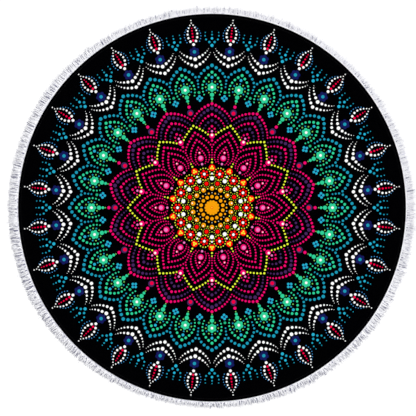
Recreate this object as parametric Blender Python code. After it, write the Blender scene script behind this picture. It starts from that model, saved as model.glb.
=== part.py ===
"""A round beach towel lying flat: a printed cloth disc with a turned hem, and the fringe trim round its edge.

Lengths are in metres. The origin is the middle of the cloth's underside, which lies on the surface Z = 0.
"""

import math
import random
from collections import namedtuple

import bmesh
import bpy
from mathutils import Vector

# The cloth. Its hem is the same cloth turned under once, so it stands a little higher than the field.
CLOTH_RADIUS = 0.708
CLOTH_THICKNESS = 0.0016
HEM_WIDTH = 0.010
HEM_THICKNESS = 0.0026
HEM_SLOPE = 0.0012
HEM_ROUNDING = 0.0006
RIM_SEGMENTS = 300

# The fringe trim: a flat woven heading that meets the hem edge to edge, with locks of loose yarn fused to it.
SEAM_GAP = 0.0003
HEADING_WIDTH = 0.007
HEADING_THICKNESS = 0.0014
LOCK_COUNT = 300
LOCK_ROOT_SHARE = 0.78

# How far the fringe reaches from the middle of the towel. It is combed out longer on two sides.
REACH = 0.7425
REACH_TWO_SIDED = 0.0060
REACH_TWO_SIDED_TOWARDS = math.radians(172)
REACH_ONE_SIDED = 0.0035
REACH_ONE_SIDED_TOWARDS = math.radians(200)

# How much single locks differ from their neighbours
LENGTH_SPREAD = 0.0022
LEAN_SPREAD = 0.0013
THICKNESS_SPREAD = 0.0003
FRINGE_SEED = 11

# A lock's cross-sections after its root. along is a share of its length, width a share of its root's width.
LockSection = namedtuple("LockSection", "along width thickness lean")
LOCK_SECTIONS = (
    LockSection(along=0.45, width=1.04, thickness=0.0022, lean=0.35),
    LockSection(along=1.00, width=0.70, thickness=0.0011, lean=1.00),
)

BLACK_PRINT = (0.012, 0.012, 0.014, 1.0)
WHITE_YARN = (0.80, 0.80, 0.84, 1.0)
TERRY_ROUGHNESS = 0.95
YARN_ROUGHNESS = 0.90


def clear_scene():
    for obj in list(bpy.data.objects):
        bpy.data.objects.remove(obj)


def cloth_material(name, colour, roughness):
    material = bpy.data.materials.new(name)
    material.use_nodes = True
    shader = material.node_tree.nodes["Principled BSDF"]
    shader.inputs["Base Color"].default_value = colour
    shader.inputs["Roughness"].default_value = roughness
    shader.inputs["Metallic"].default_value = 0.0
    return material


def add_object(name, bm, material):
    bmesh.ops.recalc_face_normals(bm, faces=bm.faces)
    mesh = bpy.data.meshes.new(name)
    bm.to_mesh(mesh)
    bm.free()
    mesh.materials.append(material)
    obj = bpy.data.objects.new(name, mesh)
    bpy.context.scene.collection.objects.link(obj)
    return obj


def polar(radius, angle, height):
    return (radius * math.cos(angle), radius * math.sin(angle), height)


def ring_faces(bm, first, second):
    """Joins two rings of the same number of points with four-sided faces."""
    for here in range(len(first)):
        after = (here + 1) % len(first)
        bm.faces.new((first[here], first[after], second[after], second[here]))


def build_cloth():
    """The cloth disc: flat underneath, with the hem as a low raised border on top."""
    hem_inside = CLOTH_RADIUS - HEM_WIDTH
    profile = (
        (CLOTH_RADIUS - HEM_ROUNDING, 0.0),
        (CLOTH_RADIUS, HEM_ROUNDING),
        (CLOTH_RADIUS, HEM_THICKNESS - HEM_ROUNDING),
        (CLOTH_RADIUS - HEM_ROUNDING, HEM_THICKNESS),
        (hem_inside, HEM_THICKNESS),
        (hem_inside - HEM_SLOPE, CLOTH_THICKNESS),
    )
    bm = bmesh.new()
    rings = [
        [bm.verts.new(polar(radius, step * math.tau / RIM_SEGMENTS, height)) for step in range(RIM_SEGMENTS)]
        for radius, height in profile
    ]
    for lower, upper in zip(rings, rings[1:]):
        ring_faces(bm, lower, upper)
    bm.faces.new(rings[0])
    bm.faces.new(rings[-1])
    return add_object("cloth", bm, cloth_material("black_printed_terry", BLACK_PRINT, TERRY_ROUGHNESS))


def fringe_reach(angle):
    """Distance from the towel's middle to the fringe's tips in this direction."""
    two_sided = REACH_TWO_SIDED * math.cos(2 * (angle - REACH_TWO_SIDED_TOWARDS))
    one_sided = REACH_ONE_SIDED * math.cos(angle - REACH_ONE_SIDED_TOWARDS)
    return REACH + two_sided + one_sided


def lock_section(bm, angle, distance, width, thickness, lean):
    """The corners of a lock's cross-section on the floor: right low, left low, left high, right high."""
    middle = Vector(polar(distance, angle, 0.0))
    leftwards = Vector((-math.sin(angle), math.cos(angle), 0.0))
    upwards = Vector((0.0, 0.0, 1.0))
    right = lean - width / 2
    left = lean + width / 2
    return [
        bm.verts.new(middle + leftwards * across + upwards * height)
        for across, height in ((right, 0.0), (left, 0.0), (left, thickness), (right, thickness))
    ]


def add_lock(bm, root, angle, heading_edge, root_width, chance):
    """Runs one lock of yarn outwards from its root, the four corners that it shares with the heading."""
    length = fringe_reach(angle) - heading_edge + chance.uniform(-LENGTH_SPREAD, LENGTH_SPREAD)
    lean = chance.uniform(-LEAN_SPREAD, LEAN_SPREAD)
    thicker = chance.uniform(-THICKNESS_SPREAD, THICKNESS_SPREAD)
    before = root
    for section in LOCK_SECTIONS:
        corners = lock_section(
            bm,
            angle,
            heading_edge + section.along * length,
            section.width * root_width,
            section.thickness + thicker,
            section.lean * lean,
        )
        ring_faces(bm, before, corners)
        before = corners
    bm.faces.new(before)


def build_fringe_trim():
    """The heading as a flat ring, with every lock of the fringe growing out of its outer edge."""
    chance = random.Random(FRINGE_SEED)
    inner = CLOTH_RADIUS + SEAM_GAP
    outer = inner + HEADING_WIDTH
    pitch = math.tau / LOCK_COUNT
    half_root = pitch * LOCK_ROOT_SHARE / 2

    bm = bmesh.new()
    stations = []
    for lock in range(LOCK_COUNT):
        for side in (-half_root, half_root):
            angle = lock * pitch + side
            stations.append(
                (
                    bm.verts.new(polar(inner, angle, 0.0)),
                    bm.verts.new(polar(outer, angle, 0.0)),
                    bm.verts.new(polar(outer, angle, HEADING_THICKNESS)),
                    bm.verts.new(polar(inner, angle, HEADING_THICKNESS)),
                )
            )

    for here, station in enumerate(stations):
        inner_low, outer_low, outer_high, inner_high = station
        far_inner_low, far_outer_low, far_outer_high, far_inner_high = stations[(here + 1) % len(stations)]
        bm.faces.new((inner_low, far_inner_low, far_outer_low, outer_low))
        bm.faces.new((inner_high, outer_high, far_outer_high, far_inner_high))
        bm.faces.new((inner_low, inner_high, far_inner_high, far_inner_low))
        outer_end = (outer_low, far_outer_low, far_outer_high, outer_high)
        is_root = here % 2 == 0
        if is_root:
            add_lock(bm, outer_end, here // 2 * pitch, outer, 2 * half_root * outer, chance)
        else:
            bm.faces.new(outer_end)
    return add_object("fringe_trim", bm, cloth_material("white_fringe_yarn", WHITE_YARN, YARN_ROUGHNESS))


clear_scene()
build_cloth()
build_fringe_trim()
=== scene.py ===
"""The looks of a round beach towel that lies flat: printed terry, a turned hem and a trim of loose yarn.

Lengths are in metres, except in the print and in the materials' patterns, which are drawn in millimetres.
The towel's middle is at the origin, +Y points to the top of the picture, and it lies on the surface Z = 0.
"""

import math
import random
from collections import namedtuple

import bpy
import numpy as np
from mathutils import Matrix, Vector, noise


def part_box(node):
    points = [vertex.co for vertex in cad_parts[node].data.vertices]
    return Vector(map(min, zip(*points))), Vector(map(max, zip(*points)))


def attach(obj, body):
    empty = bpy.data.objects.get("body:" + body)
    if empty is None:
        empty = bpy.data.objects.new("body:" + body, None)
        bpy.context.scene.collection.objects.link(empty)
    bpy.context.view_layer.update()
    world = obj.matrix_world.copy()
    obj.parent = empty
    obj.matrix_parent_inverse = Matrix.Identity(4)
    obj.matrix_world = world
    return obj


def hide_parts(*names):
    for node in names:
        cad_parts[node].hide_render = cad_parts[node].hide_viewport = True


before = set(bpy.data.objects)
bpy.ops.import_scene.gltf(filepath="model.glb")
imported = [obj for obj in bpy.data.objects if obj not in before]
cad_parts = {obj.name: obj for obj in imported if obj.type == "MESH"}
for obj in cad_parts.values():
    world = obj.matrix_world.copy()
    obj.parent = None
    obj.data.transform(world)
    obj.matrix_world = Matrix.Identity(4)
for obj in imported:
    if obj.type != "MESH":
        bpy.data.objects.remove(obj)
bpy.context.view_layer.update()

# The towel's sizes, read from model.glb, and what its one body is called
CLOTH_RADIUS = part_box("cloth")[1].x
HEM_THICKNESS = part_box("cloth")[1].z
BODY = "root"

# The cloth. It is cut wider than it ends up, by the hem that is turned under all round.
CLOTH_THICKNESS = 0.0016
HEM_WIDTH = 0.010
HEM_SLOPE = 0.0012
HEM_INNER_HEIGHT_SHARE = 0.96
HEM_ROLL_STEPS = 6
CLOTH_SEGMENTS = 288
CLOTH_RING_PITCH = 0.011

# The cloth rises off the floor in large swells with small ones on them, which fade out towards the hem.
UNDULATION = 0.0013
UNDULATION_SIZE = 0.16
UNDULATION_FADE = 0.06
LARGE_SWELLS = 0.7
SMALL_SWELLS = 0.3
SMALL_SWELL_PACE = 2.3
SMALL_SWELL_START = Vector((7.0, 3.0, 5.0))
SWELL_MIDDLE = 0.5
SWELL_GAIN = 0.9

# The fringe trim's heading, a narrow woven tape with ribs across it. The rolled hem laps over its inner
# part, and only what shows beyond the hem is made.
SEAM_GAP = 0.0003
HEM_LAP = 0.0019
HEADING_WIDTH = 0.007
HEADING_THICKNESS = 0.0014
HEM_EDGE = CLOTH_RADIUS + HEM_LAP
HEADING_INNER = HEM_EDGE
HEADING_OUTER = CLOTH_RADIUS + SEAM_GAP + HEADING_WIDTH
TAPE_WIDTH = HEADING_OUTER - HEADING_INNER

# The tape's ribs, and how light each is, with painted shade in the valleys between them. They share some of
# the yarn's painted light from side to side.
HEADING_RIBS = 3900
RIB_DEPTH = 0.00040
RIB_SHADE = 1.06
RIB_VALLEY_PAINTED_SHADE = 0.55
RIB_SHADE_SPREAD = 0.30
STATIONS_PER_SHADE = 10
TAPE_PAINTED_LIGHT = 0.6
HEADING_SEED = 3

# How far the fringe reaches from the middle of the towel. It is combed out longer on two sides.
REACH = 0.7425
REACH_TWO_SIDED = 0.0060
REACH_TWO_SIDED_TOWARDS = math.radians(172)
REACH_ONE_SIDED = 0.0035
REACH_ONE_SIDED_TOWARDS = math.radians(200)

# Smaller waves in its outline. count is how many go round it, and crest is where one of them is highest.
ReachWave = namedtuple("ReachWave", "count height crest")
REACH_WAVES = (
    ReachWave(count=3, height=0.0018, crest=math.radians(88)),
    ReachWave(count=5, height=0.0012, crest=math.radians(0)),
)

# The photograph's camera looks straight down. The frame is square, and the towel is a little off its middle.
FRAME_WIDTH = 1.5226
LENS_MM = 85.0
SENSOR_MM = 36.0
CAMERA_OFFSET = (-0.0146, -0.0011)

# What the meshes' own data is called. The last is the layer that the cloth's looks are baked into.
SHADE = "shade"
YARN_UV = "yarn"
CLOTH_UV = "OFBake"


# ---------- materials

MM = 1000.0

# Most of a noise pattern's values lie between these, and its middle colour is grey.
NOISE_LOW = 0.3
NOISE_HIGH = 0.7
NOISE_GREY = (0.5, 0.5, 0.5)

# A noise pattern: how many spots it has in a millimetre, and how many times it is refined
Grain = namedtuple("Grain", "per_mm detail")
# A bumpy surface: the height of its bumps in metres, and how much of them shows
Relief = namedtuple("Relief", "height strength")
# How a fabric takes the light. Its fuzz is the sheen.
Finish = namedtuple("Finish", "roughness sheen sheen_roughness specular")


def new_material(name):
    """A material with only its output node, and that node."""
    material = bpy.data.materials.new(name)
    material.use_nodes = True
    tree = material.node_tree
    tree.nodes.clear()
    output = tree.nodes.new("ShaderNodeOutputMaterial")
    return material, tree, output


def add_node(tree, kind, *sources, **settings):
    """A node with its settings, whose first inputs are each linked to a socket or set to a value."""
    node = tree.nodes.new(kind)
    for name, value in settings.items():
        setattr(node, name, value)
    for socket, source in zip(node.inputs, sources):
        feed(tree, socket, source)
    return node


def feed(tree, socket, source):
    """Links a socket to another node's socket, or sets it to a value."""
    if isinstance(source, bpy.types.NodeSocket):
        tree.links.new(source, socket)
    else:
        socket.default_value = source


def maths(tree, operation, *sources, clamp=False):
    return add_node(tree, "ShaderNodeMath", *sources, operation=operation, use_clamp=clamp).outputs[0]


def vector_maths(tree, operation, *sources):
    node = add_node(tree, "ShaderNodeVectorMath", *sources, operation=operation)
    gives_number = operation in ("DISTANCE", "LENGTH")
    return node.outputs["Value" if gives_number else "Vector"]


def mixed_colour(tree, factor, first, second, blend="MIX"):
    node = tree.nodes.new("ShaderNodeMix")
    node.data_type = "RGBA"
    node.blend_type = blend
    for name, source in (("Factor_Float", factor), ("A_Color", first), ("B_Color", second)):
        socket = next(s for s in node.inputs if s.identifier == name)
        feed(tree, socket, source)
    return next(s for s in node.outputs if s.identifier == "Result_Color")


def shaded(tree, colour, shade):
    """A colour multiplied by a number."""
    grey = add_node(tree, "ShaderNodeCombineXYZ", shade, shade, shade).outputs[0]
    return mixed_colour(tree, 1.0, colour, grey, blend="MULTIPLY")


def noise_pattern(tree, place, grain):
    """A noise pattern at a place in millimetres: the node's outputs, a number and a colour."""
    node = tree.nodes.new("ShaderNodeTexNoise")
    node.inputs["Scale"].default_value = grain.per_mm
    node.inputs["Detail"].default_value = grain.detail
    tree.links.new(place, node.inputs["Vector"])
    return node.outputs


def noise_value(tree, place, grain):
    return noise_pattern(tree, place, grain)["Fac"]


def spread(tree, value, low, high):
    """A noise pattern's value, spread over low to high."""
    node = add_node(tree, "ShaderNodeMapRange", value)
    node.inputs["From Min"].default_value = NOISE_LOW
    node.inputs["From Max"].default_value = NOISE_HIGH
    node.inputs["To Min"].default_value = low
    node.inputs["To Max"].default_value = high
    return node.outputs["Result"]


def bump(tree, height, relief, before=None):
    node = tree.nodes.new("ShaderNodeBump")
    node.inputs["Strength"].default_value = relief.strength
    node.inputs["Distance"].default_value = relief.height
    tree.links.new(height, node.inputs["Height"])
    if before is not None:
        tree.links.new(before, node.inputs["Normal"])
    return node.outputs["Normal"]


def fabric_shader(tree, output, colour, normal, finish):
    """A matt cloth surface."""
    shader = tree.nodes.new("ShaderNodeBsdfPrincipled")
    shader.inputs["Roughness"].default_value = finish.roughness
    shader.inputs["Sheen Weight"].default_value = finish.sheen
    shader.inputs["Sheen Roughness"].default_value = finish.sheen_roughness
    shader.inputs["Specular IOR Level"].default_value = finish.specular
    tree.links.new(colour, shader.inputs["Base Color"])
    tree.links.new(normal, shader.inputs["Normal"])
    tree.links.new(shader.outputs[0], output.inputs["Surface"])


def place_in_mm(tree):
    """The object's own coordinates in millimetres, flattened on to the floor."""
    coordinates = tree.nodes.new("ShaderNodeTexCoord").outputs["Object"]
    return vector_maths(tree, "MULTIPLY", coordinates, (MM, MM, 0.0))


def srgb(red, green, blue):
    """A colour from 0 to 255 as it shows on screen, in the linear values that shaders take."""

    def linear(value):
        value /= 255
        return value / 12.92 if value <= 0.04045 else ((value + 0.055) / 1.055) ** 2.4

    return (linear(red), linear(green), linear(blue), 1.0)


# ---------- the print

# The print is a round figure of dots, drawn once in half a sector and repeated by mirrored sectors. The inner
# part has 14 sectors and the outer part 28.
INNER = 14
OUTER = 28
AXIS = 0.0
EDGE = 1.0
CURVE_SAMPLES = 200
ANGLE_TOLERANCE = 1e-6

# How wide the rim of a dot is where its paint thins out, and how much of the paint covers at its radius
PRINT_EDGE = 0.4
COVER_AT_RADIUS = 0.5

PAINTS = {
    "white": srgb(250, 250, 250),
    "orange": srgb(244, 158, 10),
    "red": srgb(255, 14, 8),
    "lime": srgb(230, 246, 60),
    "magenta": srgb(240, 10, 108),
    "pink": srgb(236, 120, 190),
    "crimson": srgb(236, 0, 66),
    "plum": srgb(70, 38, 90),
    "leaf": srgb(118, 188, 88),
    "green": srgb(46, 204, 148),
    "jade": srgb(34, 176, 124),
    "azure": srgb(38, 170, 202),
    "teal": srgb(28, 148, 176),
    "sky": srgb(70, 150, 214),
    "navy": srgb(22, 26, 86),
    "ground": srgb(0, 0, 1),
}

Dot = namedtuple("Dot", "sectors along across radius paint")
Spot = namedtuple("Spot", "distance share radius paint")
# A ring of beads round a place: ring is its own radius, and radius a bead's.
Halo = namedtuple("Halo", "distance share ring count radius paint")
# A row of beads on a curve from start to end that bends towards a third place. A place is (distance, share),
# first and last are the radii of its end beads, and gap is the bare cloth between two beads.
Row = namedtuple("Row", "start bend end first last gap paint")


class DotPainting:
    """The dots of the print, in the order in which they cover each other.

    A place is given by its distance from the middle and its share of half a sector: 0 on the sector's
    axis and 1 on its edge.
    """

    def __init__(self):
        self.dots = []

    def place(self, sectors, distance, share):
        angle = share * math.pi / sectors
        return Vector((distance * math.cos(angle), distance * math.sin(angle)))

    def add(self, sectors, place, radius, paint):
        self.dots.append(Dot(sectors, place.x, place.y, radius, paint))

    def spots(self, sectors, *spots):
        for spot in spots:
            self.add(sectors, self.place(sectors, spot.distance, spot.share), spot.radius, spot.paint)

    def halo(self, sectors, halo, first_turn=0.0):
        """A ring of dots round a place. Those past the half sector are the mirror images of others.

        Its first dot lies straight outwards, or first_turn of the way from there to the next dot.
        """
        middle = self.place(sectors, halo.distance, halo.share)
        towards = halo.share * math.pi / sectors
        for step in range(halo.count):
            turn = towards + math.tau * (step + first_turn) / halo.count
            place = middle + halo.ring * Vector((math.cos(turn), math.sin(turn)))
            angle = math.atan2(place.y, place.x)
            if -ANGLE_TOLERANCE <= angle <= math.pi / sectors + ANGLE_TOLERANCE:
                self.add(sectors, place, halo.radius, halo.paint)

    def rows(self, sectors, *rows):
        for row in rows:
            self.row(sectors, row)

    def row(self, sectors, row):
        start, bend, end = (self.place(sectors, *place) for place in (row.start, row.bend, row.end))
        shares = np.linspace(0.0, 1.0, CURVE_SAMPLES)[:, None]
        curve = (1 - shares) ** 2 * start + 2 * shares * (1 - shares) * bend + shares**2 * end
        lengths = np.concatenate([[0.0], np.cumsum(np.linalg.norm(np.diff(curve, axis=0), axis=1))])
        whole = lengths[-1]

        def radius_at(along):
            return row.first + (row.last - row.first) * min(along / whole, 1.0)

        stops = [0.0]
        while True:
            step = 2 * radius_at(stops[-1]) + row.gap
            if stops[-1] + step / 2 > whole:
                break
            stops.append(stops[-1] + step)
        for stop in stops:
            along = stop * whole / stops[-1]
            place = Vector((np.interp(along, lengths, curve[:, 0]), np.interp(along, lengths, curve[:, 1])))
            self.add(sectors, place, radius_at(along), row.paint)


def heart(painting):
    """A scalloped disc with rings of beads round it."""
    ringed_disc = 90.0
    painting.spots(
        INNER,
        Spot(0, AXIS, 20.0, "orange"),
        Spot(22.5, AXIS, 5.0, "orange"),
        Spot(0, AXIS, 4.4, "red"),
        Spot(0, AXIS, 2.2, "lime"),
        Spot(40.5, EDGE, 6.4, "orange"),
        Spot(53.0, AXIS, 3.4, "orange"),
        Spot(55.0, EDGE, 1.4, "white"),
        Spot(71.0, EDGE, 8.2, "orange"),
        Spot(74.0, EDGE, 2.6, "white"),
        Spot(71.0, AXIS, 2.4, "lime"),
        Spot(ringed_disc, AXIS, 7.2, "red"),
        Spot(88.5, EDGE, 1.8, "lime"),
    )
    painting.halo(INNER, Halo(ringed_disc, AXIS, 12.4, 10, 1.3, "lime"), first_turn=0.5)


def six_petalled_flowers(painting):
    """A wreath of small flowers with a disc between each two."""
    flower = 126.0
    disc = 146.5
    painting.halo(INNER, Halo(flower, AXIS, 11.6, 6, 4.2, "red"))
    painting.spots(INNER, Spot(flower, AXIS, 5.0, "white"))
    painting.halo(INNER, Halo(flower, AXIS, 21.8, 14, 2.1, "lime"))
    painting.spots(
        INNER,
        Spot(107.5, EDGE, 7.4, "white"),
        Spot(125.0, EDGE, 3.6, "white"),
        Spot(disc, EDGE, 11.8, "red"),
        Spot(166.0, EDGE, 3.4, "lime"),
        Spot(177.0, EDGE, 2.6, "lime"),
    )
    painting.halo(INNER, Halo(disc, EDGE, 4.6, 3, 3.4, "lime"))


def near_petals(painting):
    """Pointed petals of nested rows, with a yellow outline."""
    painting.rows(
        INNER,
        Row((164.0, 0.32), (190.0, 0.74), (226.0, 0.0), 1.9, 3.4, 4.2, "magenta"),
        Row((168.0, 0.62), (210.0, 1.16), (254.0, 0.0), 2.1, 3.9, 4.8, "magenta"),
        Row((184.0, 1.00), (203.0, 1.00), (222.0, 1.00), 2.2, 2.9, 4.4, "magenta"),
        Row((231.0, 0.90), (250.0, 0.68), (281.0, 0.0), 3.0, 4.2, 5.4, "magenta"),
        Row((268.5, 0.76), (285.0, 0.50), (307.0, 0.0), 3.2, 4.0, 4.6, "lime"),
    )
    painting.spots(
        INNER,
        Spot(185.0, AXIS, 10.6, "magenta"),
        Spot(187.0, AXIS, 6.8, "pink"),
        Spot(163.5, AXIS, 4.2, "pink"),
        Spot(205.0, AXIS, 4.8, "magenta"),
        Spot(206.5, AXIS, 2.2, "white"),
    )


def far_petals(painting):
    """The petals behind, which show between the near ones."""
    painting.spots(
        INNER,
        Spot(263.0, EDGE, 9.8, "magenta"),
        Spot(266.0, EDGE, 4.4, "white"),
        Spot(246.0, EDGE, 4.4, "magenta"),
        Spot(280.0, EDGE, 4.0, "pink"),
    )
    painting.rows(
        INNER,
        Row((278.5, 0.78), (293.0, 0.82), (298.0, 1.0), 2.6, 4.4, 4.6, "magenta"),
        Row((292.5, 0.55), (312.5, 0.70), (319.0, 1.0), 2.6, 5.4, 5.0, "plum"),
        Row((303.0, 0.33), (331.0, 0.57), (341.0, 1.0), 2.4, 5.0, 5.2, "magenta"),
        Row((314.0, 0.16), (351.0, 0.47), (364.0, 1.0), 2.6, 6.8, 5.2, "plum"),
        Row((326.0, 0.00), (367.0, 0.38), (380.5, 1.0), 2.6, 5.4, 5.4, "magenta"),
    )
    painting.spots(
        INNER,
        Spot(356.0, AXIS, 11.6, "plum"),
        Spot(353.6, AXIS, 6.8, "crimson"),
        Spot(377.5, AXIS, 5.8, "magenta"),
    )


def arches(painting):
    """A ring of pointed arches, each with a flower in it and a small one at its foot."""
    flower = 441.0
    small_flower = 402.5
    painting.halo(OUTER, Halo(flower, AXIS, 23.0, 6, 2.8, "teal"))
    painting.halo(OUTER, Halo(flower, AXIS, 23.0, 6, 2.6, "leaf"), first_turn=0.5)
    painting.halo(OUTER, Halo(flower, AXIS, 10.8, 6, 6.3, "green"))
    painting.spots(
        OUTER,
        Spot(flower, AXIS, 5.0, "white"),
        Spot(412.0, AXIS, 10.8, "ground"),
        Spot(413.5, AXIS, 7.6, "green"),
        Spot(399.5, AXIS, 5.2, "green"),
        Spot(390.3, AXIS, 2.4, "leaf"),
        Spot(477.5, AXIS, 5.2, "azure"),
    )
    painting.rows(
        OUTER,
        Row((415.0, 0.62), (462.0, 0.96), (496.0, 0.0), 2.7, 5.4, 5.6, "green"),
        Row((444.0, 1.00), (456.0, 1.00), (468.0, 1.00), 3.0, 3.8, 5.2, "teal"),
        Row((481.5, 0.88), (506.0, 0.60), (521.0, 0.0), 4.3, 6.4, 6.0, "teal"),
    )
    painting.halo(OUTER, Halo(small_flower, EDGE, 7.4, 4, 4.8, "azure"))
    painting.spots(OUTER, Spot(small_flower, EDGE, 3.6, "navy"), Spot(424.0, EDGE, 4.8, "jade"))


def garlands(painting):
    """White beads that hang from arch to arch, with a dark flower over the middle of each."""
    flower = 574.0
    painting.rows(
        OUTER,
        Row((568.0, 0.10), (536.0, 0.34), (521.0, 1.0), 1.2, 6.1, 5.6, "white"),
        Row((582.0, 0.20), (561.0, 0.38), (547.0, 1.0), 1.1, 6.7, 5.8, "white"),
    )
    painting.halo(OUTER, Halo(flower, EDGE, 11.6, 6, 6.8, "navy"))
    painting.spots(OUTER, Spot(flower, EDGE, 6.2, "teal"))


def tips(painting):
    """Pointed leaves round the outside, with a sprig between each two."""
    painting.rows(
        OUTER,
        Row((601.0, 1.00), (636.0, 0.50), (680.0, 1.00), 5.2, 2.0, 5.0, "white"),
        Row((611.0, 0.66), (640.0, 0.44), (665.0, 0.80), 1.9, 1.5, 6.2, "sky"),
        Row((616.0, 1.00), (640.0, 1.00), (661.0, 1.00), 4.4, 2.0, 4.6, "crimson"),
    )
    painting.spots(
        OUTER,
        Spot(690.0, EDGE, 2.2, "white"),
        Spot(594.0, AXIS, 5.8, "azure"),
        Spot(620.0, AXIS, 4.6, "azure"),
        Spot(633.5, AXIS, 3.0, "teal"),
        Spot(644.0, AXIS, 2.0, "teal"),
    )
    painting.rows(OUTER, Row((606.5, 0.14), (614.0, 0.42), (642.0, 0.34), 4.4, 2.0, 5.2, "teal"))


def print_dots():
    painting = DotPainting()
    for motif in (heart, six_petalled_flowers, near_petals, far_petals, arches, garlands, tips):
        motif(painting)
    return painting.dots


def dot_group():
    """A node group that lays one dot of paint over what is there already."""
    group = bpy.data.node_groups.new("dot_of_paint", "ShaderNodeTree")
    for name, kind in (
        ("Ground", "NodeSocketColor"),
        ("Place", "NodeSocketVector"),
        ("Middle", "NodeSocketVector"),
        ("Radius", "NodeSocketFloat"),
        ("Paint", "NodeSocketColor"),
    ):
        group.interface.new_socket(name, in_out="INPUT", socket_type=kind)
    group.interface.new_socket("Ground", in_out="OUTPUT", socket_type="NodeSocketColor")
    given = group.nodes.new("NodeGroupInput").outputs
    result = group.nodes.new("NodeGroupOutput").inputs
    away = vector_maths(group, "DISTANCE", given["Place"], given["Middle"])
    rim = maths(group, "MULTIPLY_ADD", given["Radius"], 1 / PRINT_EDGE, COVER_AT_RADIUS)
    cover = maths(group, "MULTIPLY_ADD", away, -1 / PRINT_EDGE, rim)
    group.links.new(mixed_colour(group, cover, given["Ground"], given["Paint"]), result["Ground"])
    return group


def folded_place(tree, distance, angle, sectors):
    """Where a point lies once the print is folded up into half of one sector."""
    folded = maths(tree, "PINGPONG", angle, math.pi / sectors)
    along = maths(tree, "MULTIPLY", distance, maths(tree, "COSINE", folded))
    across = maths(tree, "MULTIPLY", distance, maths(tree, "SINE", folded))
    return add_node(tree, "ShaderNodeCombineXYZ", along, across).outputs[0]


def printed_colour(tree, place, ground):
    """The print's colour at a place in millimetres, over the ground's."""
    split = add_node(tree, "ShaderNodeSeparateXYZ", place).outputs
    distance = vector_maths(tree, "LENGTH", place)
    angle = maths(tree, "ARCTAN2", split["Y"], split["X"])
    places = {sectors: folded_place(tree, distance, angle, sectors) for sectors in (INNER, OUTER)}
    group = dot_group()
    for dot in print_dots():
        node = tree.nodes.new("ShaderNodeGroup")
        node.node_tree = group
        tree.links.new(ground, node.inputs["Ground"])
        tree.links.new(places[dot.sectors], node.inputs["Place"])
        node.inputs["Middle"].default_value = (dot.along, dot.across, 0.0)
        node.inputs["Radius"].default_value = dot.radius
        node.inputs["Paint"].default_value = PAINTS[dot.paint]
        ground = node.outputs["Ground"]
    return ground


# ---------- the fabrics

# Short terry. Its pile stands in small loops and wide clumps, and the loops make the print's edges ragged.
PILE_SIZE = 1.1
PILE_JITTER = 0.5
PILE_LOOPS = Grain(per_mm=1 / PILE_SIZE, detail=2.0)
PILE_LOOP_RELIEF = Relief(height=0.0010, strength=0.8)
PILE_CLUMPS = Grain(per_mm=0.22, detail=1.0)
PILE_CLUMP_RELIEF = Relief(height=0.0015, strength=0.5)

# The tips of its loops carry a painted highlight, and painted shade darkens what lies between them.
PILE_PAINTED_LIGHT_GRAIN = Grain(per_mm=1 / PILE_SIZE, detail=3.0)
PILE_PAINTED_SHADES = (0.80, 1.04)
PILE_HIGHLIGHTS_FROM = 0.57
PILE_HIGHLIGHT_BLEND = 0.12
BLACK_TIP_PAINTED_HIGHLIGHT = srgb(19, 19, 22)
PRINTED_FINISH = Finish(roughness=0.95, sheen=0.02, sheen_roughness=0.3, specular=0.0)

PLAIN_SHADING = Grain(per_mm=0.5, detail=2.0)
PLAIN_COLOURS = (srgb(226, 225, 228), srgb(240, 239, 240))
PLAIN_FINISH = Finish(roughness=0.95, sheen=0.2, sheen_roughness=0.5, specular=0.1)

# Two plies wind round each yarn, and pass by so many times in a millimetre. Their ridges carry a painted
# highlight.
YARN_PLIES = 2.0
YARN_PLIES_PER_MM = 0.55
YARN_RIDGE_PAINTED_HIGHLIGHT = 0.25
YARN_RIDGE_RELIEF = Relief(height=0.0002, strength=0.6)
YARN_FINISH = Finish(roughness=0.85, sheen=0.1, sheen_roughness=0.5, specular=0.1)
# A yarn's colour runs from a painted shade at 0 to its light colour at 1
OUTER_YARN_PAINTED_SHADE_AND_LIGHT = (srgb(124, 124, 152), srgb(252, 252, 255))
UNDER_YARN_PAINTED_SHADE_COLOURS = (srgb(116, 116, 136), srgb(216, 216, 230))

TAPE_FLECKS = Grain(per_mm=1.4, detail=3.0)
TAPE_FLECK_SHADES = (-0.2, 0.2)
TAPE_WEAVE = Grain(per_mm=2.2, detail=2.0)
TAPE_WEAVE_RELIEF = Relief(height=0.0003, strength=0.5)
TAPE_FINISH = Finish(roughness=0.85, sheen=0.15, sheen_roughness=0.5, specular=0.1)
TAPE_PAINTED_SHADE_AND_LIGHT = (srgb(190, 190, 206), srgb(252, 252, 255))

THREAD_FLECKS = Grain(per_mm=3.0, detail=2.0)
THREAD_FLECK_SHADES = (0.85, 1.0)
THREAD_FIBRES = Grain(per_mm=4.0, detail=2.0)
THREAD_FIBRE_RELIEF = Relief(height=0.0001, strength=0.4)
THREAD_FINISH = Finish(roughness=0.6, sheen=0.05, sheen_roughness=0.5, specular=0.25)
THREAD_COLOURS = {"black": srgb(14, 14, 16), "white": srgb(240, 240, 244)}


def pile_normal(tree, place):
    """Bumps of a short terry pile at a place in millimetres."""
    clumps = noise_value(tree, place, PILE_CLUMPS)
    loops = noise_value(tree, place, PILE_LOOPS)
    return bump(tree, loops, PILE_LOOP_RELIEF, before=bump(tree, clumps, PILE_CLUMP_RELIEF))


def pile_jitter(tree, place):
    """How far the pile moves what is printed at a place, in millimetres."""
    jitter = noise_pattern(tree, place, PILE_LOOPS)["Color"]
    jitter = vector_maths(tree, "SUBTRACT", jitter, NOISE_GREY)
    return vector_maths(tree, "MULTIPLY", jitter, (2 * PILE_JITTER, 2 * PILE_JITTER, 0.0))


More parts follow.
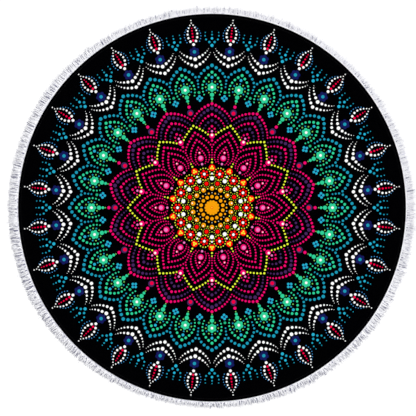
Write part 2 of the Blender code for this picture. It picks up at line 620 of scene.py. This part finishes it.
def printed_terry():
    """Short terry, dyed black and printed, with painted highlights on its loops and painted shade between
    them.
    """
    material, tree, output = new_material("printed_terry")
    place = place_in_mm(tree)
    jitter = pile_jitter(tree, place)
    # One noise gives the painted highlights on the loops' tips over the black, and the painted shade over the
    # whole print
    loops = noise_value(tree, place, PILE_PAINTED_LIGHT_GRAIN)
    gain = 1 / PILE_HIGHLIGHT_BLEND
    start = -PILE_HIGHLIGHTS_FROM / PILE_HIGHLIGHT_BLEND
    loop_highlights = maths(tree, "MULTIPLY_ADD", loops, gain, start, clamp=True)
    ground = mixed_colour(tree, loop_highlights, PAINTS["ground"], BLACK_TIP_PAINTED_HIGHLIGHT)
    colour = printed_colour(tree, vector_maths(tree, "ADD", place, jitter), ground)
    colour = shaded(tree, colour, spread(tree, loops, *PILE_PAINTED_SHADES))
    fabric_shader(tree, output, colour, pile_normal(tree, place), PRINTED_FINISH)
    return material


def plain_terry():
    material, tree, output = new_material("plain_terry")
    place = place_in_mm(tree)
    shade = spread(tree, noise_value(tree, place, PLAIN_SHADING), 0.0, 1.0)
    colour = mixed_colour(tree, shade, *PLAIN_COLOURS)
    fabric_shader(tree, output, colour, pile_normal(tree, place), PLAIN_FINISH)
    return material


def shade_value(tree):
    """How light a yarn or a rib is, as its mesh says, with its painted light and shade: darkest at 0 and
    below, and lightest at 1 and above.
    """
    attribute = tree.nodes.new("ShaderNodeAttribute")
    attribute.attribute_name = SHADE
    return attribute.outputs["Fac"]


def yarn_material(name, colours):
    """Soft twisted yarn. Its UV map has the turn round the yarn in U and millimetres along it in V."""
    material, tree, output = new_material(name)
    turn = tree.nodes.new("ShaderNodeUVMap")
    turn.uv_map = YARN_UV
    split = add_node(tree, "ShaderNodeSeparateXYZ", turn.outputs[0]).outputs
    round_yarn = maths(tree, "MULTIPLY", split["X"], YARN_PLIES)
    ply = maths(tree, "MULTIPLY_ADD", split["Y"], YARN_PLIES_PER_MM, round_yarn)
    ridge = maths(tree, "PINGPONG", ply, 0.5)
    # The plies' ridges get a painted highlight on top of the yarn's own painted light and shade
    shade = maths(tree, "MULTIPLY_ADD", ridge, YARN_RIDGE_PAINTED_HIGHLIGHT, shade_value(tree), clamp=True)
    colour = mixed_colour(tree, shade, *colours)
    normal = bump(tree, ridge, YARN_RIDGE_RELIEF)
    fabric_shader(tree, output, colour, normal, YARN_FINISH)
    return material


def woven_tape():
    material, tree, output = new_material("woven_tape")
    place = place_in_mm(tree)
    fleck = spread(tree, noise_value(tree, place, TAPE_FLECKS), *TAPE_FLECK_SHADES)
    shade = maths(tree, "ADD", shade_value(tree), fleck, clamp=True)
    colour = mixed_colour(tree, shade, *TAPE_PAINTED_SHADE_AND_LIGHT)
    normal = bump(tree, noise_value(tree, place, TAPE_WEAVE), TAPE_WEAVE_RELIEF)
    fabric_shader(tree, output, colour, normal, TAPE_FINISH)
    return material


def sewing_thread(name, colour):
    material, tree, output = new_material(name)
    place = place_in_mm(tree)
    fleck = spread(tree, noise_value(tree, place, THREAD_FLECKS), *THREAD_FLECK_SHADES)
    colour = shaded(tree, colour, fleck)
    normal = bump(tree, noise_value(tree, place, THREAD_FIBRES), THREAD_FIBRE_RELIEF)
    fabric_shader(tree, output, colour, normal, THREAD_FINISH)
    return material


# ---------- meshes


def polar(radius, angle, height):
    return (radius * math.cos(angle), radius * math.sin(angle), height)


def add_object(name, data):
    """A new object in the scene."""
    thing = bpy.data.objects.new(name, data)
    bpy.context.scene.collection.objects.link(thing)
    return thing


def add_piece(
    name, vertices, faces, materials, node, corner_uvs=None, uv_name=YARN_UV, shades=None
):
    """A smooth-shaded mesh that rides on the towel's body and stands for one of its solids."""
    mesh = bpy.data.meshes.new(name)
    mesh.from_pydata(vertices, [], faces)
    if shades is not None:
        attribute = mesh.attributes.new(SHADE, "FLOAT", "POINT")
        attribute.data.foreach_set("value", np.asarray(shades, np.float32).ravel())
    if corner_uvs is not None:
        layer = mesh.uv_layers.new(name=uv_name)
        layer.data.foreach_set("uv", np.asarray(corner_uvs, np.float32).ravel())
    mesh.shade_smooth()
    for material in materials:
        mesh.materials.append(material)
    mesh.update()
    piece = add_object(name, mesh)
    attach(piece, BODY)
    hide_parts(node)
    return piece


# ---------- the cloth

# A ring of the cloth's vertices. It rises with the cloth's undulation, unless it belongs to the hem.
Ring = namedtuple("Ring", "radius height rises")

# The cloth's baked picture shows its printed face as one large disc and its back as a small one.
Disc = namedtuple("Disc", "u v radius")
FACE_DISC = Disc(u=0.46, v=0.46, radius=0.455)
BACK_DISC = Disc(u=0.875, v=0.875, radius=0.12)


def undulation(x, y):
    """How high the cloth stands off the floor: it never lies quite flat, but its edge does."""
    place = Vector((x, y, 0.0)) / UNDULATION_SIZE
    large = LARGE_SWELLS * noise.noise(place)
    small = SMALL_SWELLS * noise.noise(place * SMALL_SWELL_PACE + SMALL_SWELL_START)
    height = min(max(SWELL_MIDDLE + SWELL_GAIN * (large + small), 0.0), 1.0)
    from_hem = CLOTH_RADIUS - HEM_WIDTH - math.hypot(x, y)
    fade = min(max(from_hem / UNDULATION_FADE, 0.0), 1.0)
    return UNDULATION * fade * fade * (3 - 2 * fade) * height


def cloth_profile():
    """The cloth's rings from its middle out, round the rolled hem and back to the middle."""
    hem_inside = CLOTH_RADIUS - HEM_WIDTH
    slope_inside = hem_inside - HEM_SLOPE
    count = round(slope_inside / CLOTH_RING_PITCH)
    face = [Ring(slope_inside * ring / count, CLOTH_THICKNESS, rises=True) for ring in range(1, count + 1)]
    back = [ring._replace(height=0.0) for ring in reversed(face)]
    roll = HEM_THICKNESS / 2
    hem = [
        Ring(hem_inside, HEM_THICKNESS * HEM_INNER_HEIGHT_SHARE, rises=False),
        Ring(HEM_EDGE - roll * 2, HEM_THICKNESS, rises=False),
    ]
    for step in range(HEM_ROLL_STEPS + 1):
        angle = math.pi / 2 - math.pi * step / HEM_ROLL_STEPS
        radius = HEM_EDGE - roll + roll * math.cos(angle)
        hem.append(Ring(radius, roll + roll * math.sin(angle), rises=False))
    hem.append(Ring(hem_inside, 0.0, rises=False))
    return face + hem + back


def cloth_vertices(profile):
    """The vertices of every ring, and after them the middles of the face and of the back."""
    vertices = []
    for ring in profile:
        for step in range(CLOTH_SEGMENTS):
            x, y, _ = polar(ring.radius, math.tau * step / CLOTH_SEGMENTS, 0.0)
            rise = undulation(x, y) if ring.rises else 0.0
            vertices.append((x, y, ring.height + rise))
    rise = undulation(0.0, 0.0)
    vertices.append((0.0, 0.0, CLOTH_THICKNESS + rise))
    vertices.append((0.0, 0.0, rise))
    return vertices


def cloth_faces(profile):
    """The faces between the rings, and for each whether it is on the back."""
    widest = max(range(len(profile)), key=lambda ring: profile[ring].radius)
    last = (len(profile) - 1) * CLOTH_SEGMENTS
    face_middle = last + CLOTH_SEGMENTS
    back_middle = face_middle + 1
    faces = []
    backs = []
    for here in range(CLOTH_SEGMENTS):
        after = (here + 1) % CLOTH_SEGMENTS
        faces.append((face_middle, here, after))
        backs.append(False)
        for ring in range(len(profile) - 1):
            inner = ring * CLOTH_SEGMENTS
            outer = inner + CLOTH_SEGMENTS
            faces.append((inner + here, outer + here, outer + after, inner + after))
            backs.append(ring >= widest)
        faces.append((back_middle, last + after, last + here))
        backs.append(True)
    return faces, backs


def disc_uv(disc, vertex):
    scale = disc.radius / HEM_EDGE
    return (disc.u + vertex[0] * scale, disc.v + vertex[1] * scale)


def build_cloth():
    profile = cloth_profile()
    vertices = cloth_vertices(profile)
    faces, backs = cloth_faces(profile)
    uvs = []
    for face, back in zip(faces, backs):
        disc = BACK_DISC if back else FACE_DISC
        uvs.extend(disc_uv(disc, vertices[corner]) for corner in face)
    piece = add_piece(
        "printed_cloth",
        vertices,
        faces,
        [printed_terry(), plain_terry()],
        "cloth",
        corner_uvs=uvs,
        uv_name=CLOTH_UV,
    )
    plain_from = CLOTH_RADIUS - HEM_WIDTH - HEM_SLOPE / 2
    for polygon, back in zip(piece.data.polygons, backs):
        middle = polygon.center
        is_plain = back and math.hypot(middle.x, middle.y) < plain_from
        polygon.material_index = 1 if is_plain else 0
    return piece


# ---------- the heading

# The tape in section, from its inner edge over the top to its outer one. across and height are shares of its
# width and thickness, and ribbed is the share of a rib's depth by which the valley between two ribs is lower.
TapePoint = namedtuple("TapePoint", "across height ribbed")
TAPE_SECTION = (
    TapePoint(across=0.00, height=0.0, ribbed=0.0),
    TapePoint(across=0.00, height=0.7, ribbed=0.3),
    TapePoint(across=0.12, height=1.0, ribbed=1.0),
    TapePoint(across=0.50, height=0.9, ribbed=1.0),
    TapePoint(across=0.88, height=1.0, ribbed=1.0),
    TapePoint(across=1.00, height=0.7, ribbed=0.3),
    TapePoint(across=1.00, height=0.0, ribbed=0.0),
)

# Painted light: the yarn is lighter at the upper right and darker at the lower left, as the light falls from
# the upper right.
FRINGE_PAINTED_LIGHT = 0.46
FRINGE_PAINTED_LIGHT_TOWARDS = math.radians(45)


def fringe_painted_light(angle):
    """How much painted light or shade the trim gets in this direction."""
    return FRINGE_PAINTED_LIGHT * np.cos(angle - FRINGE_PAINTED_LIGHT_TOWARDS)


def build_heading():
    """The woven tape that carries the fringe. Every second station along it is a valley between two ribs."""
    stations = 2 * HEADING_RIBS
    count = len(TAPE_SECTION)
    chance = random.Random(HEADING_SEED)
    vertices = []
    shades = []
    rib_shade = 0.0
    for station in range(stations):
        angle = math.tau * station / stations
        is_valley = station % 2
        if station % STATIONS_PER_SHADE == 0:
            rib_shade = chance.gauss(0, RIB_SHADE_SPREAD)
        # Painted shade in the valleys and painted light by direction, over a random tone for every few ribs
        shade = RIB_SHADE + TAPE_PAINTED_LIGHT * fringe_painted_light(angle) + rib_shade - RIB_VALLEY_PAINTED_SHADE * is_valley
        shades.extend([shade] * count)
        for point in TAPE_SECTION:
            radius = HEADING_INNER + TAPE_WIDTH * point.across
            height = HEADING_THICKNESS * point.height - RIB_DEPTH * is_valley * point.ribbed
            vertices.append(polar(radius, angle, height))
    faces = []
    for station in range(stations):
        here = station * count
        after = (station + 1) % stations * count
        for point in range(count):
            following = (point + 1) % count
            faces.append((here + point, here + following, after + following, after + point))
    return add_piece(
        "heading_tape", vertices, faces, [woven_tape()], "fringe_trim", shades=shades
    )


# ---------- tubes

# The corners of a four-sided tube, each sideways and upwards from its middle in radii
DIAMOND = ((1, 0), (0, 1), (-1, 0), (0, -1))


def tube_mesh(points, corners, radii, across):
    """Many tubes with closed ends, as the parts of one mesh.

    points is tubes x rings x 3, radii is tubes x rings, and across is each tube's sideways direction. Gives
    the vertices, the faces and the UVs of the faces' corners, with millimetres along the tube in V.
    """
    tubes, rings = radii.shape
    corner_count = len(corners)
    offsets = np.array(corners, float)
    sideways = offsets[:, 0, None] * across[:, None, None, :]
    upwards = offsets[:, 1, None] * np.array([0.0, 0.0, 1.0])
    vertices = points[:, :, None, :] + radii[:, :, None, None] * (sideways + upwards)
    lengths = np.linalg.norm(np.diff(points, axis=1), axis=2)
    along = np.concatenate([np.zeros((tubes, 1)), np.cumsum(lengths, axis=1)], axis=1) * MM

    index = np.arange(tubes * rings * corner_count).reshape(tubes, rings, corner_count)
    near = index[:, :-1, :]
    far = index[:, 1:, :]
    quads = np.stack([near, np.roll(near, -1, axis=2), np.roll(far, -1, axis=2), far], axis=-1)
    turn = np.arange(corner_count) / corner_count
    uv = np.zeros(quads.shape + (2,))
    uv[..., 0, 0] = uv[..., 3, 0] = turn
    uv[..., 1, 0] = uv[..., 2, 0] = turn + 1 / corner_count
    uv[..., 0, 1] = uv[..., 1, 1] = along[:, :-1, None]
    uv[..., 2, 1] = uv[..., 3, 1] = along[:, 1:, None]
    caps = np.concatenate([index[:, 0, ::-1], index[:, -1, :]])
    faces = quads.reshape(-1, 4).tolist() + caps.tolist()
    uvs = np.concatenate([uv.reshape(-1, 2), np.zeros((caps.size, 2))])
    return vertices.reshape(-1, 3).tolist(), faces, uvs


# ---------- the fringe

# The fringe hangs from the heading in uneven tufts. Each tuft has a few strands, and each strand some yarns.
# PINCH draws them together towards their tips, LEAN sets their tips aside and BOW their middles, LENGTH and
# LIFT set how unevenly they end and how high they lie, and SHADE and FLECKS how they differ in lightness: a
# painted shade between the strands and along them.
TUFT_WIDTH = 0.0170
TUFT_UNEVENNESS = 0.36
TUFT_WIDTH_LIMITS = (0.4, 1.8)
TUFT_PINCH = 0.16
TUFT_LEAN = 0.0020
TUFT_LENGTH = 0.0009
TUFT_SHADE = 0.04
STRAND_WIDTH = 0.0043
STRAND_YARNS = 6
STRAND_PINCH = 0.50
STRAND_LEAN = 0.0024
STRAND_BOW = 0.0014
STRAND_LENGTH = 0.0009
STRAND_LIFT = (0.0010, 0.0021)
STRAND_SHADE = 0.50
STRAND_SHADOW_FLECKS = 0.58
YARN_RADIUS = 0.00040
YARN_STRAY = 0.0006
YARN_BOW = 0.0003
YARN_LIFT = 0.0003
YARN_SHADE = 0.10
UPPER_SHADE = 1.60

# A strand is rounded: its outer yarns lie lower, and painted shade makes them darker.
YARN_HUMP = 0.0004
STRAND_EDGE_PAINTED_SHADE = 0.70
STRAND_ROUNDNESS = 5

# The painted shade between the strands is a little stronger on the right of the towel than on the left.
CONTRAST_ONE_SIDED = 0.18
CONTRAST_TOWARDS = math.radians(5)

# The tufts lean to and fro as they go round the towel, each swing so many times.
Swing = namedtuple("Swing", "times turn share")
TUFT_SWINGS = (
    Swing(times=5, turn=1.1, share=1.0),
    Swing(times=13, turn=0.0, share=0.7),
)

# The yarns' ends are cut unevenly, most of all where the fringe was combed out. The longest overreach by a
# share of the spread, before all are set back.
END_SPREAD = 0.0090
END_SPREAD_ONE_SIDED = 0.62
END_SPREAD_TOWARDS = math.radians(36)
END_OVERREACH = 0.74
END_SETBACK = 0.0050

# Looser yarn lies under the tufts and shows between them, set darker with painted shade.
UNDER_YARNS = 2600
UNDER_RADIUS = 0.00055
UNDER_STRAY = 0.3
UNDER_LEAN = 0.0030
UNDER_BOW = 0.0006
UNDER_SHORTER = 0.0048
UNDER_LENGTH = 0.0030
UNDER_LIFT = 0.0006
UNDER_SHADE = 0.5
UNDER_SHADE_SPREAD = 0.25

# Single hairs stand out of the fringe's edge.
HAIR_COUNT = 900
HAIR_RADIUS = 0.00016
HAIR_LEAN = 0.0060
HAIR_BOW = 0.0030
HAIR_LONGER = 0.0052
HAIR_LIFT = (0.0014, 0.0024)
HAIR_SHADE = (0.2, 0.9)

# A yarn from its root to its tip. along is a share of its length, rise of its lift and taper of its radius.
YarnStop = namedtuple("YarnStop", "along rise taper")
YARN_STOPS = (
    YarnStop(along=0.00, rise=0.35, taper=1.00),
    YarnStop(along=0.16, rise=0.64, taper=0.99),
    YarnStop(along=0.36, rise=1.00, taper=0.98),
    YarnStop(along=0.58, rise=0.90, taper=0.96),
    YarnStop(along=0.80, rise=0.80, taper=0.95),
    YarnStop(along=1.00, rise=0.40, taper=0.55),
)
YARN_ROOT_DEPTH = 0.0012
YARN_START = HEADING_OUTER - YARN_ROOT_DEPTH
SHORTEST_YARN = 0.012
SIDEWAYS_GROWTH = 1.4
YARN_SEED = 5

# Yarns of one radius. side and bow are how far aside their tips and middles lie, and shade is given per stop.
Yarns = namedtuple("Yarns", "angle side bow reach lift radius shade")

# The fringe's layers of yarn. The full ones are cut into four pieces.
Layer = namedtuple("Layer", "name yarns material pieces")
QUARTERS = 4


def fringe_reach(angle):
    """Distance from the towel's middle to the fringe's tips in this direction."""
    two_sided = REACH_TWO_SIDED * np.cos(2 * (angle - REACH_TWO_SIDED_TOWARDS))
    one_sided = REACH_ONE_SIDED * np.cos(angle - REACH_ONE_SIDED_TOWARDS)
    waves = sum(wave.height * np.cos(wave.count * (angle - wave.crest)) for wave in REACH_WAVES)
    return REACH + two_sided + one_sided + waves


def uneven_parts(mean_width, unevenness, limits, chance):
    """Cuts the whole round into uneven parts. Gives the middle and the width of each as an angle."""
    count = round(math.tau * HEADING_OUTER / mean_width)
    widths = np.clip(chance.normal(1.0, unevenness, count), *limits)
    widths *= math.tau / widths.sum()
    return np.cumsum(widths) - widths / 2, widths


def places_in(counts):
    """For parts cut into so many pieces each: every piece's part, and its place there from -0.5 to 0.5."""
    part = np.repeat(np.arange(len(counts)), counts)
    first = np.cumsum(counts) - counts
    return part, (np.arange(len(part)) - first[part] + 0.5) / counts[part] - 0.5


def yarn_ends(angle, chance):
    """How much further than the fringe's outline each yarn reaches. Most of them fall short of it."""
    unevenness = END_SPREAD * (1 + END_SPREAD_ONE_SIDED * np.cos(angle - END_SPREAD_TOWARDS))
    return unevenness * (END_OVERREACH - np.abs(chance.normal(0, 1, len(angle)))) - END_SETBACK


def set_off(values):
    """Values less the mean of the ones before and after, so that each differs most from its neighbours."""
    return values - (np.roll(values, 1, axis=0) + np.roll(values, -1, axis=0)) / 2


def tufted_yarns(chance):
    tuft_angle, tuft_width = uneven_parts(TUFT_WIDTH, TUFT_UNEVENNESS, TUFT_WIDTH_LIMITS, chance)
    strand_counts = np.maximum(np.round(tuft_width * HEADING_OUTER / STRAND_WIDTH), 1).astype(int)
    tuft, strand_place = places_in(strand_counts)
    strand, yarn_place = places_in(np.full(len(tuft), STRAND_YARNS))
    tuft_of_yarn = tuft[strand]
    strand_width = (tuft_width / strand_counts)[tuft]
    strand_angle = tuft_angle[tuft] + strand_place * tuft_width[tuft]
    angle = strand_angle[strand] + yarn_place * strand_width[strand]
    count = len(angle)

    def per_tuft(size):
        return chance.normal(0, size, len(tuft_angle))[tuft_of_yarn]

    def per_strand(size):
        return chance.normal(0, size, len(tuft))[strand]

    def per_yarn(size):
        return chance.normal(0, size, count)

    swings = sum(swing.share * np.sin(swing.times * tuft_angle + swing.turn) for swing in TUFT_SWINGS)
    tuft_lean = TUFT_LEAN * swings[tuft_of_yarn] + per_tuft(TUFT_LEAN)
    tuft_pinch = TUFT_PINCH * (strand_place * tuft_width[tuft])[strand] * HEADING_OUTER
    strand_pinch = STRAND_PINCH * yarn_place * strand_width[strand] * HEADING_OUTER
    side = tuft_lean + per_strand(STRAND_LEAN) + per_yarn(YARN_STRAY) - tuft_pinch - strand_pinch
    bow = per_strand(STRAND_BOW) + per_yarn(YARN_BOW)
    reach = fringe_reach(angle) + per_tuft(TUFT_LENGTH) + per_strand(STRAND_LENGTH) + yarn_ends(angle, chance)
    lift = chance.uniform(*STRAND_LIFT, len(tuft))[strand] + chance.uniform(0, YARN_LIFT, count)
    lift += YARN_HUMP * (1 - (2 * yarn_place) ** 2)

    # Painted shade: each strand, and each stretch along it, is set darker or lighter than its neighbours
    contrast = 1 + CONTRAST_ONE_SIDED * np.cos(strand_angle - CONTRAST_TOWARDS)
    strand_shade = contrast * set_off(chance.normal(0, STRAND_SHADE, len(tuft)))
    # Every upper yarn takes the painted light by direction
    shade = UPPER_SHADE + fringe_painted_light(angle) + per_tuft(TUFT_SHADE) + strand_shade[strand]
    shade += per_yarn(YARN_SHADE)
    # Painted shade darkens each strand's outer yarns
    shade -= STRAND_EDGE_PAINTED_SHADE * (2 * np.abs(yarn_place)) ** STRAND_ROUNDNESS
    shadow_flecks = contrast[:, None] * set_off(chance.normal(0, STRAND_SHADOW_FLECKS, (len(tuft), len(YARN_STOPS))))
    return Yarns(angle, side, bow, reach, lift, YARN_RADIUS, shade[:, None] + shadow_flecks[strand])


def same_along(shade):
    """A shade for every stop of each yarn, all the same."""
    return np.repeat(shade[:, None], len(YARN_STOPS), axis=1)


def under_yarns(chance):
    stray = chance.normal(0, UNDER_STRAY, UNDER_YARNS)
    angle = (np.arange(UNDER_YARNS) + stray) * math.tau / UNDER_YARNS
    side = chance.normal(0, UNDER_LEAN, UNDER_YARNS)
    bow = chance.normal(0, UNDER_BOW, UNDER_YARNS)
    reach = fringe_reach(angle) - UNDER_SHORTER - np.abs(chance.normal(0, UNDER_LENGTH, UNDER_YARNS))
    # The under yarns are set darker, a painted shade, and take the painted light by direction
    shade = UNDER_SHADE + fringe_painted_light(angle) + chance.normal(0, UNDER_SHADE_SPREAD, UNDER_YARNS)
    lift = np.full(UNDER_YARNS, UNDER_LIFT)
    return Yarns(angle, side, bow, reach, lift, UNDER_RADIUS, same_along(shade))


def loose_hairs(chance):
    angle = chance.uniform(0, math.tau, HAIR_COUNT)
    side = chance.normal(0, HAIR_LEAN, HAIR_COUNT)
    bow = chance.normal(0, HAIR_BOW, HAIR_COUNT)
    reach = fringe_reach(angle) + np.abs(chance.normal(0, HAIR_LONGER, HAIR_COUNT))
    lift = chance.uniform(*HAIR_LIFT, HAIR_COUNT)
    shade = chance.uniform(*HAIR_SHADE, HAIR_COUNT)
    return Yarns(angle, side, bow, reach, lift, HAIR_RADIUS, same_along(shade))


def yarn_paths(yarns):
    """The middle line, the radii and the sideways direction of every yarn."""
    count = len(yarns.angle)
    along, rise, taper = (np.array(column) for column in zip(*YARN_STOPS))
    length = np.maximum(yarns.reach - YARN_START, SHORTEST_YARN)
    away = YARN_START + length[:, None] * along
    side = yarns.side[:, None] * along**SIDEWAYS_GROWTH + yarns.bow[:, None] * np.sin(np.pi * along)
    radii = np.tile(yarns.radius * taper, (count, 1))
    out = np.stack([np.cos(yarns.angle), np.sin(yarns.angle), np.zeros(count)], axis=1)
    across = np.stack([-np.sin(yarns.angle), np.cos(yarns.angle), np.zeros(count)], axis=1)
    points = away[:, :, None] * out[:, None, :] + side[:, :, None] * across[:, None, :]
    points[:, :, 2] = np.maximum(yarns.lift[:, None] * rise, radii)
    return points, radii, across


def build_fringe():
    chance = np.random.default_rng(YARN_SEED)
    outer = yarn_material("fringe_yarn_outer", OUTER_YARN_PAINTED_SHADE_AND_LIGHT)
    inner = yarn_material("fringe_yarn_under_painted_shade", UNDER_YARN_PAINTED_SHADE_COLOURS)
    layers = (
        Layer("fringe_under", under_yarns(chance), inner, QUARTERS),
        Layer("fringe_tufts", tufted_yarns(chance), outer, QUARTERS),
        Layer("fringe_hairs", loose_hairs(chance), outer, 1),
    )
    pieces = []
    for layer in layers:
        points, radii, across = yarn_paths(layer.yarns)
        for part, chosen in enumerate(np.array_split(np.arange(len(points)), layer.pieces)):
            name = f"{layer.name}_{part + 1}"
            vertices, faces, uvs = tube_mesh(points[chosen], DIAMOND, radii[chosen], across[chosen])
            shades = np.repeat(layer.yarns.shade[chosen], len(DIAMOND), axis=1)
            piece = add_piece(
                name, vertices, faces, [layer.material], "fringe_trim", uvs, shades=shades
            )
            pieces.append(piece)
    return pieces


# ---------- the seams

THREAD_RADIUS = 0.00022
HEM_STITCH = 0.0036
HEM_SEAM_INSET = 0.0015
TRIM_STITCH = 0.0034
TRIM_SEAM_INNER_INSET = 0.0011
TRIM_SEAM_OUTER_INSET = 0.0012

# A round of stitches on a surface of some height. pitch is the length of a stitch with the gap after it.
Seam = namedtuple("Seam", "name radius height pitch thread node slot")
SEAMS = (
    Seam(
        name="hem_seam",
        radius=CLOTH_RADIUS - HEM_WIDTH + HEM_SEAM_INSET,
        height=HEM_THICKNESS,
        pitch=HEM_STITCH,
        thread="black",
        node="cloth",
        slot="printed_cloth",
    ),
    Seam(
        name="trim_seam_inner",
        radius=HEADING_INNER + TRIM_SEAM_INNER_INSET,
        height=HEADING_THICKNESS,
        pitch=TRIM_STITCH,
        thread="white",
        node="fringe_trim",
        slot="fringe_yarn",
    ),
    Seam(
        name="trim_seam_outer",
        radius=HEADING_OUTER - TRIM_SEAM_OUTER_INSET,
        height=HEADING_THICKNESS,
        pitch=TRIM_STITCH,
        thread="white",
        node="fringe_trim",
        slot="fringe_yarn",
    ),
)

# One stitch from end to end. along is a share of the seam's pitch, and rise is in radii of the thread.
StitchStop = namedtuple("StitchStop", "along rise")
STITCH_STOPS = (
    StitchStop(along=-0.40, rise=-0.6),
    StitchStop(along=-0.30, rise=0.7),
    StitchStop(along=0.00, rise=1.1),
    StitchStop(along=0.30, rise=0.7),
    StitchStop(along=0.40, rise=-0.6),
)


def build_seam(seam, material):
    """A round of stitches, each a short arched length of thread that dips into the cloth at its ends."""
    count = round(math.tau * seam.radius / seam.pitch)
    middle = np.arange(count) * math.tau / count
    step = math.tau / count
    along, rise = (np.array(column) for column in zip(*STITCH_STOPS))
    angle = middle[:, None] + step * along
    height = np.broadcast_to(seam.height + THREAD_RADIUS * rise, angle.shape)
    points = np.stack([seam.radius * np.cos(angle), seam.radius * np.sin(angle), height], axis=2)
    outwards = np.stack([np.cos(middle), np.sin(middle), np.zeros(count)], axis=1)
    radii = np.full(angle.shape, THREAD_RADIUS)
    vertices, faces, uvs = tube_mesh(points, DIAMOND[::-1], radii, outwards)
    return add_piece(seam.name, vertices, faces, [material], seam.node, uvs)


# ---------- the towel


def build_towel():
    cloth = build_cloth()
    threads = {name: sewing_thread(f"{name}_thread", colour) for name, colour in THREAD_COLOURS.items()}
    trim = [build_heading()]
    trim += build_fringe()
    trim += [build_seam(seam, threads[seam.thread]) for seam in SEAMS]


# ---------- studio

# The floor lies just under the towel, so that the two never share a plane.
FLOOR_HALF = 40.0
FLOOR_HEIGHT = -0.0003
FLOOR_CORNERS = ((-1, -1), (1, -1), (1, 1), (-1, 1))
FLOOR_COLOUR = (0.93, 0.93, 0.93, 1.0)
ROOM_COLOUR = (1.0, 1.0, 1.0, 1.0)
ROOM_LIGHT = 0.76
KEY_LIGHT = 1.9
KEY_SOFTNESS = math.radians(25)
KEY_FROM = Vector((0.75, 0.75, 1.0))


def build_floor():
    mesh = bpy.data.meshes.new("floor")
    corners = [(x * FLOOR_HALF, y * FLOOR_HALF, FLOOR_HEIGHT) for x, y in FLOOR_CORNERS]
    mesh.from_pydata(corners, [], [(0, 1, 2, 3)])
    material, tree, output = new_material("pale_floor")
    shader = tree.nodes.new("ShaderNodeBsdfPrincipled")
    shader.inputs["Base Color"].default_value = FLOOR_COLOUR
    shader.inputs["Roughness"].default_value = 1.0
    shader.inputs["Specular IOR Level"].default_value = 0.0
    tree.links.new(shader.outputs[0], output.inputs["Surface"])
    mesh.materials.append(material)
    floor = add_object("floor", mesh)


def add_light():
    """An even white room and one soft light from the upper right of the picture."""
    world = bpy.data.worlds.new("studio")
    world.use_nodes = True
    background = world.node_tree.nodes["Background"]
    background.inputs["Color"].default_value = ROOM_COLOUR
    background.inputs["Strength"].default_value = ROOM_LIGHT
    bpy.context.scene.world = world
    key = bpy.data.lights.new("soft_key", "SUN")
    key.energy = KEY_LIGHT
    key.angle = KEY_SOFTNESS
    lamp = add_object("soft_key", key)
    lamp.rotation_euler = KEY_FROM.to_track_quat("Z", "Y").to_euler()


def add_camera():
    data = bpy.data.cameras.new("camera")
    data.lens = LENS_MM
    data.sensor_width = SENSOR_MM
    camera = add_object("camera", data)
    distance = FRAME_WIDTH / 2 / (SENSOR_MM / 2 / LENS_MM)
    camera.location = (*CAMERA_OFFSET, distance + HEM_THICKNESS)
    bpy.context.scene.camera = camera


build_floor()
build_towel()
add_light()
add_camera()
bpy.context.scene.view_settings.view_transform = "Standard"
